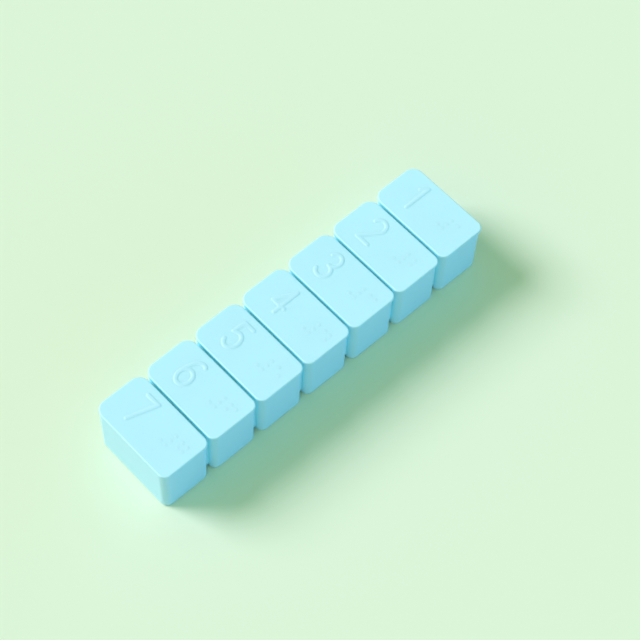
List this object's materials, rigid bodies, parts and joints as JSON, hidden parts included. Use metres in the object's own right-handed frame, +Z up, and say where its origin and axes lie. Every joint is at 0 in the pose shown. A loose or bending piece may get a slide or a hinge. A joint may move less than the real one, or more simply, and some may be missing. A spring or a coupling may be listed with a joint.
{
  "type": "weekly pill box",
  "caption": "Long pill box: a row of rounded cups in one tray, each with its own flat lid on a rear pin hinge.",
  "frame": {"origin": "middle of the footprint, on the surface that the tray stands on", "axes": "+X runs along the row of cups, +Y points to the hinge side, +Z is up"},
  "size_m": [0.1572, 0.0382, 0.0252],
  "materials": {
    "tray_plastic": "satin, light aqua blue, opaque",
    "lid_plastic": "satin, light aqua blue, opaque",
    "pin_steel": "bright drawn wire"
  },
  "bodies": {
    "tray_body": {"tray": "tray_plastic"},
    "lid_body_1": {"lid_1": "lid_plastic", "hinge_pin_1": "pin_steel"},
    "lid_body_2": {"lid_2": "lid_plastic", "hinge_pin_2": "pin_steel"},
    "lid_body_3": {"lid_3": "lid_plastic", "hinge_pin_3": "pin_steel"},
    "lid_body_4": {"lid_4": "lid_plastic", "hinge_pin_4": "pin_steel"},
    "lid_body_5": {"lid_5": "lid_plastic", "hinge_pin_5": "pin_steel"},
    "lid_body_6": {"lid_6": "lid_plastic", "hinge_pin_6": "pin_steel"},
    "lid_body_7": {"lid_7": "lid_plastic", "hinge_pin_7": "pin_steel"}
  },
  "joints": [
    {"name": "lid_hinge_1", "type": "hinge", "parent": "tray_body", "child": "lid_body_1", "pos_m": [0.0678, 0.0165, 0.0216], "axis": [-1, 0, 0], "range_deg": [0, 130]},
    {"name": "lid_hinge_2", "type": "hinge", "parent": "tray_body", "child": "lid_body_2", "pos_m": [0.0452, 0.0165, 0.0216], "axis": [-1, 0, 0], "range_deg": [0, 130]},
    {"name": "lid_hinge_3", "type": "hinge", "parent": "tray_body", "child": "lid_body_3", "pos_m": [0.0226, 0.0165, 0.0216], "axis": [-1, 0, 0], "range_deg": [0, 130]},
    {"name": "lid_hinge_4", "type": "hinge", "parent": "tray_body", "child": "lid_body_4", "pos_m": [0, 0.0165, 0.0216], "axis": [-1, 0, 0], "range_deg": [0, 130]},
    {"name": "lid_hinge_5", "type": "hinge", "parent": "tray_body", "child": "lid_body_5", "pos_m": [-0.0226, 0.0165, 0.0216], "axis": [-1, 0, 0], "range_deg": [0, 130]},
    {"name": "lid_hinge_6", "type": "hinge", "parent": "tray_body", "child": "lid_body_6", "pos_m": [-0.0452, 0.0165, 0.0216], "axis": [-1, 0, 0], "range_deg": [0, 130]},
    {"name": "lid_hinge_7", "type": "hinge", "parent": "tray_body", "child": "lid_body_7", "pos_m": [-0.0678, 0.0165, 0.0216], "axis": [-1, 0, 0], "range_deg": [0, 130]}
  ]
}
